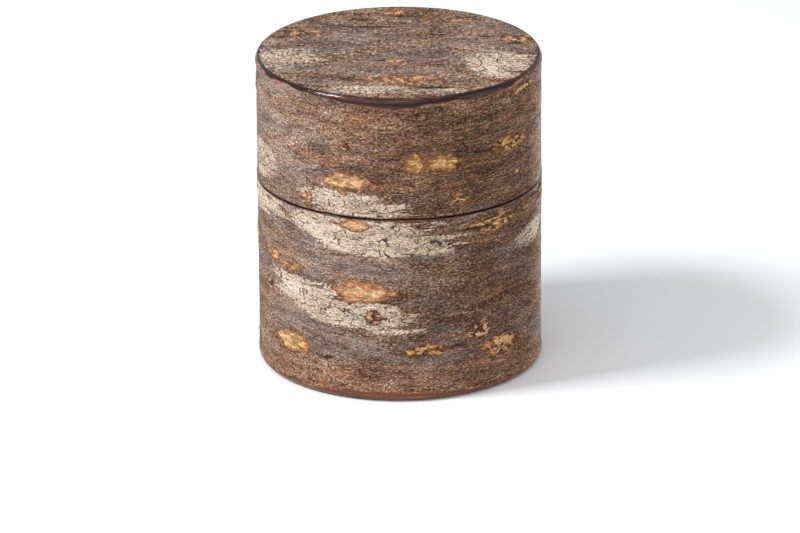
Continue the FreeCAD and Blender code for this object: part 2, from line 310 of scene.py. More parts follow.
def scatter(count, span, seed):
    """Seeded marks over a stretch of sheet that none of the lists above covers."""
    rng = np.random.RandomState(seed)

    def draw(*ranges):
        return tuple(rng.uniform(low, high) for low, high in ranges)

    lenticels = []
    for _ in range(count):
        length = rng.uniform(3.5, 15)
        place = draw(*span)
        width = 1.4 + 0.22 * length + rng.uniform(0, 0.8)
        lenticels.append((*place, length, width, rng.uniform(0.1, 1), rng.uniform(0, 0.8) ** 2))
    pale = [draw(*span, (18, 40), (5, 10), (-7, 7), (0.6, 1)) for _ in range(count // 4)]
    cracks = [draw(*span, (4, 14), (0.4, 0.9)) for _ in range(count)]
    tints = [draw(*span, (20, 60), (8, 26), (-0.4, 0.5), (-0.2, 0.15)) for _ in range(count // 3)]
    return lenticels, pale, cracks, tints


def on_sheet(marks):
    """The same marks, with their angle turned into a distance from the front along the wrapped sheet."""
    placed = []
    for angle, *rest in marks:
        along = math.radians(angle) * OUTER
        if along > HALF_SHEET:
            along -= 2 * HALF_SHEET
        placed.append((along, *rest))
    return placed


# ---------------------------------------------------------------------------------------------------------
# relief and masks on a bark sheet, at points u along the grain and v across it

def fibre_lines(u, v, lenticels, seed):
    """Which fibre each point is on, as a distance across the grain. Fibres meander, and part at lenticels."""
    lines = v + 0.9 * pattern("meander", u, v, seed)
    for u0, v0, length, width, _, _ in lenticels:
        along = (u - u0) / (0.62 * length)
        across = v - v0
        flow = np.exp(-along ** 2 - (across / (1.6 * width)) ** 2)
        lines = lines - 0.30 * width * np.tanh(across / (0.4 * width)) * flow
    return lines


def pale_mask(u, v, patches, streaks):
    """Silvery patches of outer skin. They fray along the grain, mostly at their right end."""
    pale = np.zeros_like(u)
    for u0, v0, length, width, tilt, strength in patches:
        slope = math.tan(math.radians(tilt))
        along = (u - u0) / (0.5 * length)
        across = (v - v0 - slope * (u - u0)) / (0.5 * width)
        inside = 1.0 - np.sqrt(along ** 2 + across ** 2)
        fray = 0.16 + 0.34 * smoothstep(-0.2, 1.0, along)
        pale = np.maximum(pale, strength * smoothstep(-0.16, 0.30, inside + fray * streaks))
    return pale


def lenticel_masks(u, v, lenticels, ragged, lumps, streaks):
    """The lenticels' corky bodies, the outlines with tails round them, their yellowness, and their darkness
    with painted shade under each.
    """
    body = np.zeros_like(u)
    outline = np.zeros_like(u)
    yellow = np.zeros_like(u)
    dark = np.zeros_like(u)
    for number, (u0, v0, length, width, yellowness, darkness) in enumerate(lenticels):
        # A leaf shape with a ragged border, fuller at one end.
        lean = 0.35 if number % 3 else -0.35
        along = (u - u0) / (0.5 * length)
        across = v - v0 + 0.12 * width * lumps
        bulge = 0.5 * width * np.clip(1 - np.abs(along) ** 2.2, 0, 1) * (1 + lean * along)
        inside = bulge - np.abs(across) + 0.26 * ragged + 0.10 * width * lumps - 0.18
        here = np.clip(0.40 + inside / (0.35 + 0.28 * width), 0, 1) * smoothstep(1.02, 0.96, np.abs(along))
        # The outline runs a little way round it, and on into a thin tail at each end.
        tail = 0.5 * width * np.clip(1 - np.abs(along + 0.25 * lean) / 1.5, 0, 1) ** 1.6
        ring = smoothstep(-0.30, 0.35, np.maximum(inside + 0.45, tail - np.abs(across) + 0.25 * streaks))
        ring = ring * (np.abs(along) < 1.6)
        # The outline is darker under the lenticel than over it: painted shade along its lower side.
        under = smoothstep(0.15, -0.5, across / width)
        shadow = 0.75 * under * smoothstep(0.4, 0.1, here)
        yellow = np.where(ring > outline, yellowness, yellow)
        dark = np.where(ring > outline, np.maximum(darkness, shadow), dark)
        body = np.maximum(body, here)
        outline = np.maximum(outline, ring)
    return body, outline, yellow, dark


def crack_mask(u, v, lines, cracks, ragged, pale, seed):
    """The cracks of the list, and fine seeded ones along the grain where the bark isn't pale."""
    crack = np.zeros_like(u)
    jagged = pattern("jagged", u, v, seed)
    for u0, v0, length, width in cracks:
        along = (u - u0) / (0.5 * length)
        bulge = 0.5 * width * np.clip(1 - along ** 2, 0, 1)
        line = smoothstep(-0.12, 0.16, bulge - np.abs(v - v0 + 0.35 * jagged) + 0.1 * ragged)
        crack = np.maximum(crack, line * (np.abs(along) < 1))
    ridge = 1 - np.abs(pattern("ridges", u, lines, seed))
    sparse = smoothstep(0.10, 0.55, pattern("sparse", u, v, seed))
    return np.maximum(crack, 0.8 * smoothstep(0.955, 0.995, ridge) * sparse * (1 - pale))


def bark_fields(u, v, marks, seed, coarse=1.0):
    """Relief depth and masks of a bark sheet. Its fibres are coarse times as thick as those of the wall."""
    lenticels, patches, cracks, tints = marks
    lines = fibre_lines(u, v, lenticels, seed) / coarse
    fibre = pattern("fibre", u, lines, seed)
    plates = pattern("plates", u, lines, seed)
    streaks = pattern("streaks", u, lines, seed)
    ragged = pattern("ragged", u, v, seed)
    lumps = pattern("lumps", u, v, seed)

    body, outline, yellow, dark = lenticel_masks(u, v, lenticels, ragged, lumps, streaks)
    raised = smoothstep(0.05, 0.45, body)
    outline = outline * (1 - raised)
    pale = pale_mask(u, v, patches, streaks) * (1 - raised) * (1 - 0.8 * outline)
    crack = crack_mask(u, v, lines, cracks, ragged, pale, seed)

    corky = pattern("corky", u, v, seed)
    depth = SKIN_DEPTH - FIBRE_RELIEF * fibre - PLATE_RELIEF * plates
    depth = depth - PALE_RISE * pale
    depth = depth - raised * (CORK_RISE + CORK_RELIEF * corky) + OUTLINE_DEPTH * outline
    depth = depth + CRACK_DEPTH * crack

    tone = 0.5 + 0.17 * plates + 0.11 * fibre
    warm = 0.45 + 0.45 * pattern("warmth", u, lines, seed)
    # Tints shift warmth and tone; on the wall one of them is a painted reflection.
    for u0, v0, length, width, warmth, lightness in tints:
        spread = np.exp(-((u - u0) / (0.6 * length)) ** 2 - ((v - v0) / (0.6 * width)) ** 2)
        warm = warm + warmth * spread
        tone = tone + lightness * spread
    return {
        "depth": depth, "along": u, "lines": lines, "across": v / coarse,
        "pale": pale, "lenticel": body, "outline": outline,
        "yellow": yellow, "dark": dark, "crack": crack,
        "tone": np.clip(tone, 0, 1), "warm": np.clip(warm, 0, 1),
    }


# ---------------------------------------------------------------------------------------------------------
# meshes

# The vector attributes of a bark mesh, and the fields in each one.
STORED = {
    "sheet": ("along", "lines", "across"),
    "marks": ("pale", "lenticel", "outline"),
    "shades": ("yellow", "dark", "crack"),
    "tones": ("tone", "warm", "polish"),
}


def lathe_faces(rows, has_poles):
    """Faces over a grid of rows by COLUMNS. Its first and last rows are joined, or shrink to a pole each."""
    index = np.arange(rows * COLUMNS).reshape(rows, COLUMNS)
    following = np.roll(index, -1, axis=1)
    first, last = (1, rows - 2) if has_poles else (0, rows - 1)
    quads = []
    for i in range(first, last):
        quads.append(np.stack([index[i], following[i], following[i + 1], index[i + 1]], axis=-1))
    if not has_poles:
        quads.append(np.stack([index[last], following[last], following[0], index[0]], axis=-1))
    faces = np.concatenate(quads).tolist()
    if has_poles:
        for a, b in zip(index[first], following[first]):
            faces.append([index[0, 0], b, a])
        for a, b in zip(index[last], following[last]):
            faces.append([a, b, index[rows - 1, 0]])
    return faces


def build_lathe(name, radii, heights, normals, fields, weight):
    """A turned shell or disc, its relief cut inward from radii and heights. Every argument but the name is an
    array of rows by COLUMNS, or holds such arrays. A profile that starts and ends on the axis gets poles."""
    rows = len(radii)
    inward = np.maximum(fields["depth"], LEAST_DEPTH) * weight
    r = radii - normals[0] * inward
    z = heights - normals[1] * inward
    points = np.stack([r * np.sin(TURN), -r * np.cos(TURN), z], axis=-1).reshape(-1, 3) * MM
    has_poles = radii[0, 0] < ON_AXIS
    keep = np.ones(rows * COLUMNS, bool)
    if has_poles:
        keep[1:COLUMNS] = False
        keep[(rows - 1) * COLUMNS + 1:] = False
    renumber = np.cumsum(keep) - 1
    faces = [[int(renumber[corner]) for corner in face] for face in lathe_faces(rows, has_poles)]

    mesh = bpy.data.meshes.new(name)
    mesh.from_pydata(points[keep].tolist(), [], faces)
    mesh.polygons.foreach_set("use_smooth", [True] * len(mesh.polygons))
    for title, channels in STORED.items():
        layer = mesh.attributes.new(title, "FLOAT_VECTOR", "POINT")
        data = np.stack([np.broadcast_to(fields[c], radii.shape).ravel() for c in channels], axis=-1)[keep]
        layer.data.foreach_set("vector", data.astype(np.float32).ravel())
    mesh.update()
    piece = bpy.data.objects.new(name, mesh)
    bpy.context.scene.collection.objects.link(piece)
    return piece


def edge_arc(start, end, count):
    """Rows along a rounded edge at the bottom: radius, distance in from the end plane, and outward normal.
    Angles are from level, down towards the end."""
    places = []
    for a in np.radians(np.linspace(start, end, count)):
        out = math.cos(a)
        down = -math.sin(a)
        places.append((EDGE_CENTRE + EDGE * out, EDGE + EDGE * down, out, down))
    return places


def spread_out(table):
    """Each column of a table of rows, repeated all round the caddy."""
    return [np.broadcast_to(column[:, None], (len(table), COLUMNS)).copy() for column in table.T]


def wall_profile(bottom, top, edge_at_bottom):
    """Rows of an outer sheath: radius, height, normal r, normal z, relief weight, distance past the rounded
    edge, distance from the seam. They start with the edge at the bottom, and are turned over for the lid."""
    rise = top - bottom
    _, meet, _, _ = edge_arc(MEET_ANGLE, 0, 2)[0]
    rows = [(VENEER, meet + 2 * GLUE_LINE, 0, -1, 0.0), (VENEER + 0.02, meet + GLUE_LINE, 0, -1, 0.0)]
    for row in edge_arc(MEET_ANGLE - CLEAR_OF_GLUE, 0, SHEATH_EDGE_ROWS):
        rows.append((*row, None))
    steps = int((rise - EDGE - EASE) / ROW_STEP)
    for z in np.linspace(EDGE, rise - EASE, steps + 1)[1:]:
        rows.append((OUTER, z, 1, 0, None))
    for a in np.radians((30, 60, 90)):
        place = (OUTER - EASE + EASE * math.cos(a), rise - EASE + EASE * math.sin(a))
        rows.append((*place, math.cos(a), math.sin(a), None))
    rows.append((VENEER, rise, 0, 1, 0.0))

    filled = []
    past_edge = -math.radians(MEET_ANGLE) * EDGE - GLUE_LINE
    previous = rows[0]
    for row in rows:
        past_edge += math.hypot(row[0] - previous[0], row[1] - previous[1])
        previous = row
        from_seam = rise - row[1]
        weight = row[4]
        if weight is None:
            weight = 0.30 + 0.70 * float(smoothstep(-0.4, 1.2, past_edge))
            weight *= 0.25 + 0.75 * float(smoothstep(0.0, 0.8, from_seam))
        filled.append((*row[:4], weight, past_edge, from_seam))
    table = np.array(filled)
    if edge_at_bottom:
        table[:, 1] += bottom
        return table
    table[:, 1] = top - table[:, 1]
    table[:, 3] *= -1
    return table[::-1]


def wall_piece(name, bottom, top, edge_at_bottom, marks, seed):
    """The bark sheath of the body or of the lid, with a joint down its back and a polished rounded edge."""
    columns = spread_out(wall_profile(bottom, top, edge_at_bottom))
    radii, heights, normal_r, normal_z, weight, past_edge, from_seam = columns
    u = np.broadcast_to(TURN * OUTER, radii.shape).copy()
    fields = bark_fields(u, heights, marks, seed)
    joint = smoothstep(0.75, 0.2, HALF_SHEET - np.abs(u))
    fields["crack"] = np.maximum(fields["crack"], 0.9 * joint)
    fields["depth"] = fields["depth"] + JOINT_DEPTH * joint

    # The least skin is left over the edge near the front, so the polished band is widest there.
    skin_left = 1.3 - 1.5 * np.exp(-((u + 1) / 24) ** 2) + 0.4 * pattern("edge_width", u, heights * 0, seed)
    ragged = pattern("ragged_edge", u, heights, seed)
    polish = smoothstep(0.9, -0.5, past_edge + 0.7 * ragged + skin_left)
    polish = np.maximum(polish, smoothstep(0.50, 0.15, from_seam + 0.2 * ragged))
    fields["polish"] = np.where(weight > 0, polish, 1.0)
    fields["depth"] = fields["depth"] * (1 - fields["polish"]) + POLISHED_DEPTH * fields["polish"]
    return build_lathe(name, radii, heights, (normal_r, normal_z), fields, weight)


def disc_piece(name, faces_up, marks, seed, wear=0.0):
    """The disc of bark on an end of the caddy, its grain along X. Its rim carries the first part of the
    rounded edge and ends at the glue line where the sheath begins."""
    radius = VENEER - DISC_GAP
    rows = [(0.0, 0.0, 0.0, 1.0, 1.0), (0.25, 0.0, 0.0, 1.0, 1.0)]
    steps = int(EDGE_CENTRE / ROW_STEP)
    rows += [(r, 0.0, 0.0, 1.0, 1.0) for r in np.linspace(0.6, EDGE_CENTRE, steps)]
    arc = edge_arc(90, MEET_ANGLE + CLEAR_OF_GLUE, DISC_EDGE_ROWS)
    rows += [(r, sunk, out, -down, DISC_EDGE_RELIEF) for r, sunk, out, down in arc[1:]]
    rows += [(radius, rows[-1][1] + GLUE_LINE, 1.0, 0.0, 0.0)]
    rows += [(r, BARK, 0.0, -1.0, 0.0) for r in (radius, radius * 0.5, 0.0)]
    radii, sunk, normal_r, normal_z, weight = spread_out(np.array(rows))
    side = 1.0 if faces_up else -1.0
    heights = HEIGHT - sunk if faces_up else sunk
    u = radii * np.sin(TURN)
    v = -radii * np.cos(TURN) * side
    fields = bark_fields(u, v, marks, seed, DISC_COARSE)
    fields["depth"] = fields["depth"] - DISC_RISE
    fields["lenticel"] = DISC_CORK * fields["lenticel"]
    fields["tone"] = np.clip(fields["tone"] + 0.22 * pattern("disc_blotches", u, v, seed), 0, 1)
    fields["polish"] = np.zeros_like(u)
    if wear:
        fields["depth"] = LEAST_DEPTH + (fields["depth"] - LEAST_DEPTH) * (1 - wear)
    rim = smoothstep(radius - 0.30, radius - 0.02, radii)
    fields["crack"] = np.maximum(fields["crack"], 0.9 * rim)
    if not faces_up:
        radii, heights, normal_r, normal_z, weight = (
            column[::-1] for column in (radii, heights, normal_r, normal_z, weight)
        )
        fields = {key: field[::-1] for key, field in fields.items()}
    return build_lathe(name, radii, heights, (normal_r, normal_z * side), fields, weight)


# ---------------------------------------------------------------------------------------------------------
# materials

def rgb(red, green, blue):
    """A colour named by its display values, 0 to 255, as the shader's linear colour."""
    linear = []
    for channel in (red, green, blue):
        c = channel / 255
        linear.append(c / 12.92 if c <= 0.04045 else ((c + 0.055) / 1.055) ** 2.4)
    return (*linear, 1.0)


def lighter(colour):
    """The same colour, a quarter lighter."""
    return tuple(min(1.0, c * 1.25) for c in colour[:3]) + (1.0,)


class Shader:
    """A node material in the making. Each method adds nodes and returns the socket to carry on from."""

    def __init__(self, name):
        self.material = bpy.data.materials.new(name)
        self.material.use_nodes = True
        self.tree = self.material.node_tree
        self.tree.nodes.clear()

    def node(self, kind, inputs=(), **settings):
        made = self.tree.nodes.new(kind)
        for key, setting in settings.items():
            setattr(made, key, setting)
        for key, source in dict(inputs).items():
            socket = made.inputs[key]
            if isinstance(source, bpy.types.NodeSocket):
                self.tree.links.new(source, socket)
            else:
                socket.default_value = source
        return made

    def attribute(self, name):
        """A vector attribute of the mesh, and its three numbers."""
        vector = self.node("ShaderNodeAttribute", attribute_name=name).outputs["Vector"]
        return vector, self.node("ShaderNodeSeparateXYZ", {0: vector}).outputs

    def place(self):
        """The point's place on the object, in millimetres."""
        return self.stretch(self.node("ShaderNodeTexCoord").outputs["Object"], 1 / MM, 1 / MM, 1 / MM)

    def math(self, operation, a, b=0.0):
        return self.node("ShaderNodeMath", {0: a, 1: b}, operation=operation).outputs[0]

    def add(self, a, b):
        return self.math("ADD", a, b)

    def less(self, a, b):
        return self.math("SUBTRACT", a, b)

    def times(self, a, b):
        return self.math("MULTIPLY", a, b)

    def swing(self, x, amount):
        """How far x is from 0.5, times amount."""
        return self.times(self.less(x, 0.5), amount)

    def stretch(self, vector, x, y, z=1.0):
        return self.node("ShaderNodeVectorMath", {0: vector, 1: (x, y, z)}, operation="MULTIPLY").outputs[0]

    def noise(self, vector, detail=3.0, roughness=0.55, distortion=0.0, scale=1.0):
        settings = {"Scale": scale, "Detail": detail, "Roughness": roughness, "Distortion": distortion}
        return self.node("ShaderNodeTexNoise", {"Vector": vector, **settings}).outputs["Fac"]

    def between(self, x, low, high, out_low=0.0, out_high=1.0):
        """Smooth from out_low where x is low to out_high where x is high, and level beyond them."""
        made = self.node(
            "ShaderNodeMapRange",
            {"Value": x, "From Min": low, "From Max": high, "To Min": out_low, "To Max": out_high},
            interpolation_type="SMOOTHSTEP",
        )
        return made.outputs["Result"]

    def ridge(self, x, width):
        """1 along the middle line of a noise, 0 a little way off it."""
        return self.between(self.math("ABSOLUTE", self.less(x, 0.5)), width, 0.0)

    def cell_edges(self, vector, width):
        """1 on the edges of irregular cells, 0 a little way off them."""
        made = self.node("ShaderNodeTexVoronoi", {"Vector": vector, "Scale": 1.0}, feature="DISTANCE_TO_EDGE")
        return self.between(made.outputs["Distance"], width, 0.3 * width)

    def ramp(self, factor, stops):
        made = self.node("ShaderNodeValToRGB", {"Fac": factor})
        elements = made.color_ramp.elements
        while len(elements) < len(stops):
            elements.new(0.5)
        for element, (position, colour) in zip(elements, stops):
            element.position = position
            element.color = colour
        return made.outputs["Color"]

    def mix(self, factor, a, b):
        """Mixes two colours."""
        made = self.node("ShaderNodeMix", {"Factor": factor, 6: a, 7: b}, data_type="RGBA", clamp_factor=True)
        return made.outputs[2]

    def blend(self, factor, a, b):
        """Mixes two numbers."""
        return self.node("ShaderNodeMix", {"Factor": factor, 2: a, 3: b}, data_type="FLOAT").outputs[0]

    def bump(self, height, distance, strength):
        """A normal from a height, where 1 stands distance millimetres up."""
        settings = {"Strength": strength, "Distance": distance * MM}
        return self.node("ShaderNodeBump", {"Height": height, **settings}).outputs["Normal"]

    def surface(self, **inputs):
        """Ends the material in a principled shader. Its sockets are named with _ for each space."""
        sockets = {key.replace("_", " "): source for key, source in inputs.items()}
        principled = self.node("ShaderNodeBsdfPrincipled", sockets)
        self.node("ShaderNodeOutputMaterial", {"Surface": principled.outputs["BSDF"]})
        return self.material


class RoughBark(Shader):
    """The bark's rough outer skin. It follows the fields that bark_fields stored on the mesh."""

    def __init__(self):
        super().__init__("rough_bark")
        self.sheet, (along, _, self.across) = self.attribute("sheet")
        _, (self.pale, self.lenticel, self.outline) = self.attribute("marks")
        _, (self.yellow, self.dark, self.crack) = self.attribute("shades")
        _, (self.tone, self.warm, self.polish) = self.attribute("tones")
        self.flat = self.node("ShaderNodeCombineXYZ", {0: along, 1: self.across}).outputs[0]

        self.fibres = self.on_fibres(0.62, 2.5, 5.0, 0.68)
        self.specks = self.on_fibres(1.5, 2.3, 2.0, 0.6)
        self.mottle = self.on_fibres(0.12, 0.5, 3.0, 0.6)
        self.flecks = self.on_flat(1.1, 1.9, 3.0, 0.6)
        light = self.add(self.times(self.fibres, 0.36), self.times(self.specks, 0.64))
        self.light = self.add(light, self.swing(self.tone, 0.26))

        self.dark_lines = self.dark_line_mask()
        self.worms = self.worm_mask()
        self.grit = self.on_flat(0.50, 1.2, 4.0, 0.62, 0.8)
        self.creases = self.crease_mask()
        self.hollows = self.hollow_mask()

    def on_fibres(self, x, y, *settings):
        """Noise that follows the fibres round lenticels, with x and y cells in a millimetre."""
        return self.noise(self.stretch(self.sheet, x, y, 0.0), *settings)

    def on_flat(self, x, y, *settings):
        """Noise that runs straight over the sheet, with x and y cells in a millimetre."""
        return self.noise(self.stretch(self.flat, x, y), *settings)

    def dark_line_mask(self):
        """Dark lines along the fibres, mostly where the skin is dark."""
        lines = self.ridge(self.on_fibres(0.20, 1.7, 4.0, 0.6), 0.030)
        kept = self.less(self.on_fibres(0.12, 0.45, 2.0), self.swing(self.tone, 0.35))
        return self.times(lines, self.between(kept, 0.43, 0.56))

    def worm_mask(self):
        """Short black cracks that fork, here and there on pale skin."""
        edges = self.cell_edges(self.stretch(self.flat, 0.36, 0.52), 0.055)
        return self.times(edges, self.between(self.on_flat(0.46, 0.62, 1.0), 0.50, 0.55))

    def crease_mask(self):
        """Fine dark creases in cork."""
        creases = self.ridge(self.on_flat(0.34, 0.62, 3.0, 0.6, 1.2), 0.020)
        return self.times(creases, self.between(self.flecks, 0.44, 0.56))

    def hollow_mask(self):
        """Hollows where the cork of dark lenticels has fallen out. They are dented in the relief and hold
        painted shade.
        """
        left = self.between(self.on_flat(0.42, 0.85, 4.0, 0.65, 0.6), 0.47, 0.53)
        return self.between(self.less(self.times(self.dark, 1.3), left), -0.30, 0.55)

    def skin(self):
        """Speckled skin, from mauve grey to brown, with rusty areas and small russet dots."""
        contrast = self.between(self.warm, 0.0, 0.8, 0.68, 1.08)
        shade = self.add(self.times(self.less(self.light, 0.5), contrast), 0.5)
        grey = self.ramp(shade, [
            (0.34, rgb(48, 35, 26)), (0.44, rgb(95, 77, 64)), (0.52, rgb(133, 114, 102)),
            (0.60, rgb(166, 149, 138)), (0.70, rgb(206, 192, 181)),
        ])
        brown = self.ramp(shade, [
            (0.34, rgb(44, 26, 15)), (0.44, rgb(95, 64, 42)), (0.52, rgb(133, 98, 72)),
            (0.60, rgb(166, 135, 110)), (0.70, rgb(210, 186, 166)),
        ])
        warmth = self.add(self.warm, self.swing(self.flecks, 2.0))
        colour = self.mix(self.between(warmth, 0.20, 0.80), grey, brown)
        rusty = self.times(self.between(warmth, 0.75, 1.15), self.between(self.mottle, 0.48, 0.62))
        rust = self.mix(self.light, rgb(108, 58, 32), rgb(200, 134, 90))
        colour = self.mix(self.times(rusty, 0.6), colour, rust)
        colour = self.mix(self.times(self.dark_lines, 0.85), colour, rgb(40, 29, 24))
        dots = self.between(self.on_flat(0.42, 0.95, 1.0, 0.5), 0.68, 0.73)
        russet = self.mix(self.specks, rgb(96, 50, 28), rgb(214, 156, 106))
        return self.mix(self.times(dots, 0.7), colour, russet)

    def silver(self):
        """Pale outer skin with fine dark hairs and black worm-like cracks."""
        colour = self.ramp(self.light, [
            (0.36, rgb(130, 109, 88)), (0.46, rgb(187, 166, 142)), (0.56, rgb(213, 195, 174)),
            (0.66, rgb(235, 222, 206)),
        ])
        hairs = self.ridge(self.on_fibres(0.34, 2.2, 3.0, 0.6), 0.022)
        hairs = self.times(hairs, self.between(self.flecks, 0.42, 0.56))
        colour = self.mix(self.times(hairs, 0.65), colour, rgb(92, 72, 54))
        return self.mix(self.times(self.worms, 0.95), colour, rgb(36, 28, 23))

    def cork(self):
        """The lenticels' cork, from tan to ochre, with painted shade in its hollows."""
        core = self.add(self.times(self.grit, 0.75), self.times(self.lenticel, 0.25))
        tan = self.ramp(core, [
            (0.34, rgb(116, 66, 36)), (0.44, rgb(174, 114, 72)), (0.54, rgb(203, 150, 107)),
            (0.70, rgb(230, 192, 152)),
        ])
        ochre = self.ramp(core, [
            (0.34, rgb(104, 60, 24)), (0.44, rgb(164, 106, 46)), (0.54, rgb(192, 134, 64)),
            (0.70, rgb(226, 184, 118)),
        ])
        colour = self.mix(self.yellow, tan, ochre)
        colour = self.mix(self.times(self.creases, 0.9), colour, rgb(54, 33, 21))
        # Painted shade in the hollows.
        shadow = self.mix(self.between(self.flecks, 0.35, 0.65), rgb(24, 16, 12), rgb(112, 76, 52))
        return self.mix(self.hollows, colour, shadow)

    def halo(self):
        """The brown or nearly black skin round a lenticel. It goes nearly black where the lenticel is dark,
        and under it as painted shade.
        """
        brown = self.mix(self.between(self.light, 0.42, 0.60), rgb(106, 62, 38), rgb(170, 114, 76))
        black = self.mix(self.light, rgb(34, 23, 18), rgb(100, 70, 52))
        return self.mix(self.dark, brown, black)

    def burnished(self):
        """Polished inner bark at the rounded edges: umber at the top, russet low on the body."""
        layers = self.on_flat(0.035, 1.1, 4.0, 0.6, 0.3)
        umber = self.ramp(layers, [
            (0.34, rgb(18, 9, 7)), (0.48, rgb(34, 17, 12)), (0.58, rgb(70, 37, 24)),
            (0.66, rgb(140, 80, 40)), (0.74, rgb(180, 122, 64)),
        ])
        russet = self.ramp(layers, [
            (0.34, rgb(62, 32, 22)), (0.48, rgb(98, 56, 36)), (0.58, rgb(128, 76, 46)),
            (0.70, rgb(172, 110, 68)),
        ])
        colour = self.mix(self.between(self.across, 12.0, 6.0), umber, russet)
        return self.mix(self.times(self.between(self.specks, 0.50, 0.62), 0.3), colour, rgb(40, 22, 18))

    def relief(self, cork_area, gloss):
        """Fine relief, from 0 to about 1, that the mesh is too coarse to hold. Polish nearly flattens it."""
        height = self.add(self.times(self.fibres, 0.6), self.times(self.specks, 0.4))
        height = self.add(height, self.times(self.times(cork_area, self.grit), 0.9))
        cuts = self.math("MAXIMUM", self.dark_lines, self.worms)
        height = self.less(height, self.times(cuts, 0.5))
        hollows = self.times(self.math("MAXIMUM", self.creases, self.hollows), cork_area)
        height = self.less(height, self.times(hollows, 0.6))
        return self.times(height, self.less(1.0, self.times(gloss, 0.93)))


def rough_bark_material():
    s = RoughBark()
    veil = s.between(s.add(s.pale, s.swing(s.light, 1.6)), 0.10, 0.80)
    colour = s.mix(veil, s.skin(), s.silver())
    ringed = s.times(s.outline, s.between(s.fibres, 0.30, 0.55, 0.55, 0.95))
    colour = s.mix(ringed, colour, s.halo())
    cork_area = s.between(s.lenticel, 0.04, 0.30)
    colour = s.mix(cork_area, colour, s.cork())
    colour = s.mix(s.times(s.crack, 0.92), colour, rgb(32, 23, 19))

    frayed_polish = s.add(s.polish, s.swing(s.fibres, 0.7))
    gloss = s.between(frayed_polish, 0.35, 0.65)
    fringe = s.times(s.between(frayed_polish, 0.05, 0.35), s.between(s.mottle, 0.42, 0.56))
    inner_bark = s.mix(s.specks, rgb(108, 54, 26), rgb(184, 112, 64))
    colour = s.mix(s.times(fringe, 0.65), colour, inner_bark)
    colour = s.mix(gloss, colour, s.burnished())

    roughness = s.blend(gloss, s.between(s.light, 0.3, 0.7, 0.86, 0.66), 0.10)
    normal = s.bump(s.relief(cork_area, gloss), 0.35, 0.9)
    return s.surface(Base_Color=colour, Roughness=roughness, Specular_IOR_Level=0.3, Normal=normal)


def turned_coordinates(s):
    """Grain coordinates (mm) for a turned CAD node: round the axis and up on walls, level on flats."""
    place = s.place()
    x, y, z = s.node("ShaderNodeSeparateXYZ", {0: place}).outputs
    radius = s.math("SQRT", s.add(s.times(x, x), s.times(y, y)))
    angle = s.math("ARCTAN2", x, s.times(y, -1.0))
    wall = s.node("ShaderNodeCombineXYZ", {0: s.times(angle, radius), 1: z}).outputs[0]
    level = s.node("ShaderNodeCombineXYZ", {0: x, 1: y}).outputs[0]
    normal = s.node("ShaderNodeNewGeometry").outputs["Normal"]
    upright = s.math("ABSOLUTE", s.node("ShaderNodeSeparateXYZ", {0: normal}).outputs[2])
    flats = s.between(upright, 0.70, 0.72)
    return s.node("ShaderNodeMix", {"Factor": flats, 4: wall, 5: level}, data_type="VECTOR").outputs[1]


def polished_bark_material():
    """Scraped and polished bark: red-brown bands with short pale dashes and dark pores."""
    s = Shader("polished_bark")
    sheet = turned_coordinates(s)
    bands = s.noise(s.stretch(sheet, 0.05, 0.55, 0.0), 4.0, 0.6, 0.4)
    fine = s.noise(s.stretch(sheet, 0.5, 3.5, 0.0), 4.0, 0.6)
    colour = s.ramp(s.add(s.times(bands, 0.65), s.times(fine, 0.35)), [
        (0.34, rgb(58, 22, 13)), (0.50, rgb(98, 40, 22)), (0.66, rgb(142, 68, 36)),
    ])
    dashes = s.between(s.noise(s.stretch(sheet, 0.16, 1.1, 0.0), 2.0, 0.5), 0.66, 0.70)
    colour = s.mix(s.times(dashes, 0.8), colour, rgb(176, 116, 72))
    pores = s.between(s.noise(s.stretch(sheet, 0.6, 2.0, 0.0), 2.0), 0.70, 0.74)
    colour = s.mix(s.times(pores, 0.6), colour, rgb(38, 16, 10))
    roughness = s.between(fine, 0.3, 0.7, 0.24, 0.38)
    relief = s.add(s.times(dashes, 0.5), s.times(fine, 0.3))
    return s.surface(Base_Color=colour, Roughness=roughness, Normal=s.bump(relief, 0.08, 0.8))


def laminated_bark_material():
    """Many bark layers glued flat and turned, so that they show as level stripes."""
    s = Shader("laminated_bark")
    place = s.place()
    layers = s.noise(s.stretch(place, 0.06, 0.06, 3.2), 3.0, 0.5)
    fine = s.noise(s.stretch(place, 0.7, 3.0, 3.0), 4.0, 0.6)
    colour = s.ramp(s.add(s.times(layers, 0.75), s.times(fine, 0.25)), [
        (0.34, rgb(46, 18, 11)), (0.48, rgb(92, 38, 21)), (0.58, rgb(128, 60, 32)),
        (0.68, rgb(168, 98, 54)),
    ])
    roughness = s.between(fine, 0.3, 0.7, 0.20, 0.34)
    return s.surface(Base_Color=colour, Roughness=roughness, Normal=s.bump(fine, 0.06, 0.6))


def wood_material(name, early, late, pore):
    """Plain wood with its grain along X on the flats and round the axis on the walls."""
    s = Shader(name)
    sheet = turned_coordinates(s)
    rings = s.noise(s.stretch(sheet, 0.025, 0.5, 0.0), 3.0, 0.55, 0.8)
    fine = s.noise(s.stretch(sheet, 0.35, 6.0, 0.0), 4.0, 0.6)
    figure = s.add(s.times(rings, 0.7), s.times(fine, 0.3))
    colour = s.ramp(figure, [(0.38, late), (0.52, early), (0.66, lighter(early))])
    pores = s.between(s.noise(s.stretch(sheet, 0.5, 9.0, 0.0), 2.0), 0.64, 0.70)
    colour = s.mix(s.times(pores, 0.5), colour, pore)
    roughness = s.between(fine, 0.3, 0.7, 0.50, 0.68)
    return s.surface(Base_Color=colour, Roughness=roughness, Normal=s.bump(fine, 0.06, 0.7))


def floor_material():
    """Nearly white, and very faintly mottled."""
    s = Shader("studio_floor")
    place = s.node("ShaderNodeTexCoord").outputs["Object"]
    mottle = s.noise(place, 3.0, 0.5, scale=3.0)
    colour = s.ramp(mottle, [(0.3, (0.86, 0.86, 0.86, 1)), (0.7, (0.88, 0.88, 0.88, 1))])
    return s.surface(Base_Color=colour, Roughness=0.9)


# ---------------------------------------------------------------------------------------------------------
# the caddy

